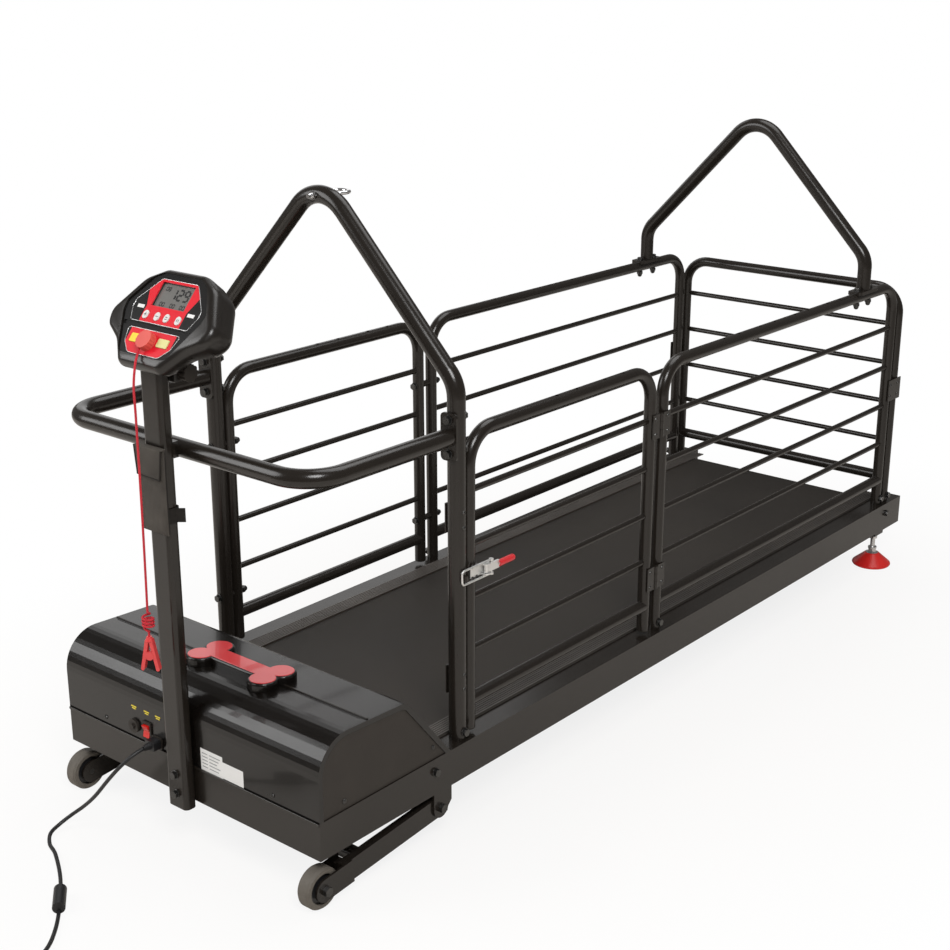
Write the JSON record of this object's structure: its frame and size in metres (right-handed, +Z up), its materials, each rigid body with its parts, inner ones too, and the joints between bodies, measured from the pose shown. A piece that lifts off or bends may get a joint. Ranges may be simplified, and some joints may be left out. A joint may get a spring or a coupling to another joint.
{
  "type": "dog treadmill",
  "caption": "Railed running-belt treadmill for a dog with fence panels, hinged gate, two arches, console on a mast, hooded drive and lift wheels.",
  "frame": {"origin": "middle of the footprint on the floor", "axes": "+Z up, -Y towards the console end, +X towards the gate side"},
  "size_m": [0.713, 2.6671, 1.1271],
  "materials": {
    "frame_paint": "satin powder coat",
    "galvanised": "zinc plated",
    "bright_steel": "bright plated",
    "dark_steel": "black oxide",
    "strip": "ribbed extrusion",
    "deck": "waxed board",
    "belt": "textured",
    "drive_belt": "ribbed",
    "motor": "satin",
    "hood_gloss": "gloss",
    "hood_matte": "fine grain",
    "badge": "gloss red face on black",
    "black_plastic": "fine grain",
    "rocker_red": "gloss",
    "console_red": "printed overlay",
    "lcd": "display window",
    "key_white": "satin",
    "key_yellow": "satin",
    "key_pale": "satin",
    "key_salmon": "fluted",
    "lanyard": "woven cord",
    "clip_red": "gloss",
    "pouch": "woven nylon",
    "foot_red": "moulded",
    "wheel": "solid tyre",
    "grip_red": "dipped vinyl",
    "lead": "smooth"
  },
  "bodies": {
    "base": {"side_rails": "frame_paint", "front_plate": "frame_paint", "cross_members": "frame_paint", "motor_tray": "galvanised", "foot_strips": "strip", "deck_board": "deck", "running_belt": "belt", "roller_axles": "galvanised", "drive_motor": "motor", "drive_belt": "drive_belt", "control_box": "motor", "incline_actuator": "motor", "pivot_brackets": "frame_paint", "hood": "hood_gloss", "hood_ends": "hood_matte", "badge": "badge", "power_fittings": "black_plastic", "mast": "frame_paint", "console_shell": "black_plastic", "console_panel": "console_red", "console_lcd": "lcd", "pouch": "pouch", "front_arch": "frame_paint", "handlebar": "frame_paint", "rear_arch": "frame_paint", "eye_bolt": "bright_steel", "panel_frames": "frame_paint", "panel_bars": "frame_paint", "post_plates": "frame_paint", "mains_cord": "lead", "cord_coil": "lead", "cord_fittings": "lead"},
    "front_roller": {"front_roller": "galvanised"},
    "rear_roller": {"rear_roller": "galvanised"},
    "motor_pulley": {"motor_pulley": "galvanised"},
    "incline_rod": {"incline_rod": "galvanised"},
    "lift": {"lift_frame": "frame_paint", "lift_bolts": "dark_steel"},
    "wheel_near": {"wheel_near": "wheel"},
    "wheel_far": {"wheel_far": "wheel"},
    "foot_near": {"foot_near": "foot_red"},
    "foot_far": {"foot_far": "foot_red"},
    "power_rocker": {"power_rocker": "rocker_red"},
    "breaker_button": {"breaker_button": "black_plastic"},
    "key_1": {"key_1": "key_white"},
    "key_2": {"key_2": "key_white"},
    "key_3": {"key_3": "key_white"},
    "key_4": {"key_4": "key_white"},
    "key_start": {"key_start": "key_yellow"},
    "key_stop": {"key_stop": "key_pale"},
    "safety_key": {"safety_key": "key_salmon", "lanyard": "lanyard", "lanyard_clip": "clip_red"},
    "clamp_knob": {"clamp_knob": "black_plastic"},
    "gate": {"gate_frame": "frame_paint", "gate_bars": "frame_paint", "gate_hinges": "frame_paint", "latch_base": "galvanised"},
    "latch_lever": {"latch_lever": "grip_red"},
    "latch_bail": {"latch_bail": "galvanised"}
  },
  "joints": [
    {"name": "front_roller_turn", "type": "hinge", "parent": "base", "child": "front_roller", "pos_m": [0, -0.751, 0.14], "axis": [1, 0, 0], "continuous": true},
    {"name": "rear_roller_turn", "type": "hinge", "parent": "base", "child": "rear_roller", "pos_m": [0, 1.004, 0.14], "axis": [1, 0, 0], "continuous": true},
    {"name": "motor_turn", "type": "hinge", "parent": "base", "child": "motor_pulley", "pos_m": [0, -0.864, 0.149], "axis": [1, 0, 0], "continuous": true},
    {"name": "lift_pivot", "type": "hinge", "parent": "base", "child": "lift", "pos_m": [0, -0.736, 0.063], "axis": [1, 0, 0], "range_deg": [0, 24]},
    {"name": "jack_slide", "type": "slide", "parent": "base", "child": "incline_rod", "axis": [0, 0, 1], "range_m": [-0.07784, 0]},
    {"name": "wheel_near_turn", "type": "hinge", "parent": "lift", "child": "wheel_near", "pos_m": [0.3115, -1.026, 0.0375], "axis": [1, 0, 0], "continuous": true},
    {"name": "wheel_far_turn", "type": "hinge", "parent": "lift", "child": "wheel_far", "pos_m": [-0.3115, -1.026, 0.0375], "axis": [1, 0, 0], "continuous": true},
    {"name": "foot_near_screw", "type": "slide", "parent": "base", "child": "foot_near", "axis": [0, 0, 1], "range_m": [-0.02, 0]},
    {"name": "foot_far_screw", "type": "slide", "parent": "base", "child": "foot_far", "axis": [0, 0, 1], "range_m": [-0.02, 0]},
    {"name": "rocker_rock", "type": "hinge", "parent": "base", "child": "power_rocker", "pos_m": [-0.101, -1.036, 0.191], "axis": [1, 0, 0], "range_deg": [0, 18]},
    {"name": "breaker_press", "type": "slide", "parent": "base", "child": "breaker_button", "axis": [0, 1, 0], "range_m": [0, 0.002], "stiffness_N_per_m": 800},
    {"name": "key_1_press", "type": "slide", "parent": "base", "child": "key_1", "axis": [0, 0.7604, -0.6494], "range_m": [0, 0.001], "stiffness_N_per_m": 600},
    {"name": "key_2_press", "type": "slide", "parent": "base", "child": "key_2", "axis": [0, 0.7604, -0.6494], "range_m": [0, 0.001], "stiffness_N_per_m": 600},
    {"name": "key_3_press", "type": "slide", "parent": "base", "child": "key_3", "axis": [0, 0.7604, -0.6494], "range_m": [0, 0.001], "stiffness_N_per_m": 600},
    {"name": "key_4_press", "type": "slide", "parent": "base", "child": "key_4", "axis": [0, 0.7604, -0.6494], "range_m": [0, 0.001], "stiffness_N_per_m": 600},
    {"name": "key_start_press", "type": "slide", "parent": "base", "child": "key_start", "axis": [0, 0.7604, -0.6494], "range_m": [0, 0.001], "stiffness_N_per_m": 600},
    {"name": "key_stop_press", "type": "slide", "parent": "base", "child": "key_stop", "axis": [0, 0.7604, -0.6494], "range_m": [0, 0.001], "stiffness_N_per_m": 600},
    {"name": "safety_key_pull", "type": "slide", "parent": "base", "child": "safety_key", "axis": [0, -0.7604, 0.6494], "range_m": [0, 0.02]},
    {"name": "clamp_knob_turn", "type": "hinge", "parent": "base", "child": "clamp_knob", "pos_m": [0.025, -1.008, 0.867], "axis": [1, 0, 0], "continuous": true},
    {"name": "gate_swing", "type": "hinge", "parent": "base", "child": "gate", "pos_m": [0.32175, -0.053, 0.5], "axis": [0, 0, 1], "range_deg": [0, 110]},
    {"name": "latch_throw", "type": "hinge", "parent": "gate", "child": "latch_lever", "pos_m": [0.3275, -0.608, 0.481], "axis": [0, 0, -1], "range_deg": [0, 110]},
    {"name": "bail_follow", "type": "hinge", "parent": "latch_lever", "child": "latch_bail", "pos_m": [0.3275, -0.594, 0.481], "axis": [0, 0, -1], "range_deg": [-110, 0]}
  ],
  "couplings": [
    {"joint": "rear_roller_turn", "follows": "front_roller_turn", "ratio": 1},
    {"joint": "motor_turn", "follows": "front_roller_turn", "ratio": 2.1579},
    {"joint": "jack_slide", "follows": "lift_pivot", "m_per_rad": -0.18104},
    {"joint": "bail_follow", "follows": "latch_throw", "ratio": -1}
  ]
}
